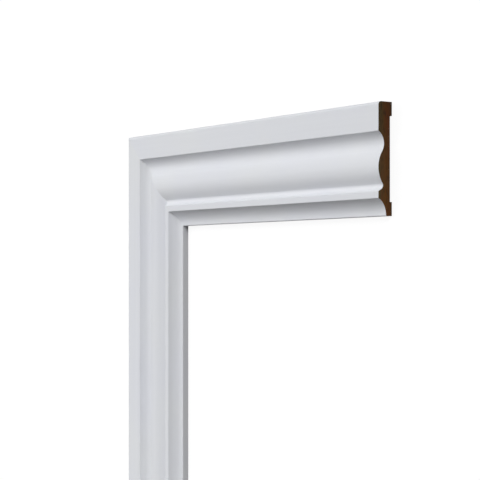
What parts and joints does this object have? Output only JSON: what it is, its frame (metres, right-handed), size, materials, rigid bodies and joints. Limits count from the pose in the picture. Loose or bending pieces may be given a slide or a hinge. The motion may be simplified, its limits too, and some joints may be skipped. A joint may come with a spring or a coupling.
{
  "type": "architrave moulding",
  "caption": "Mitred corner of door architrave: an upright leg and a head of one cove, torus and bead section with a relieved back, painted white, sawn ends bare.",
  "frame": {"origin": "outer corner of the mitre, on the plane of the feet that meet the wall", "axes": "+X along the head away from the corner, +Y up the leg, +Z out of the wall towards the moulded face"},
  "size_m": [0.408, 2.1, 0.0145],
  "materials": {
    "white_paint": "satin white paint"
  },
  "bodies": {
    "root": {"architrave_head": "white_paint", "architrave_leg": "white_paint"}
  },
  "joints": []
}
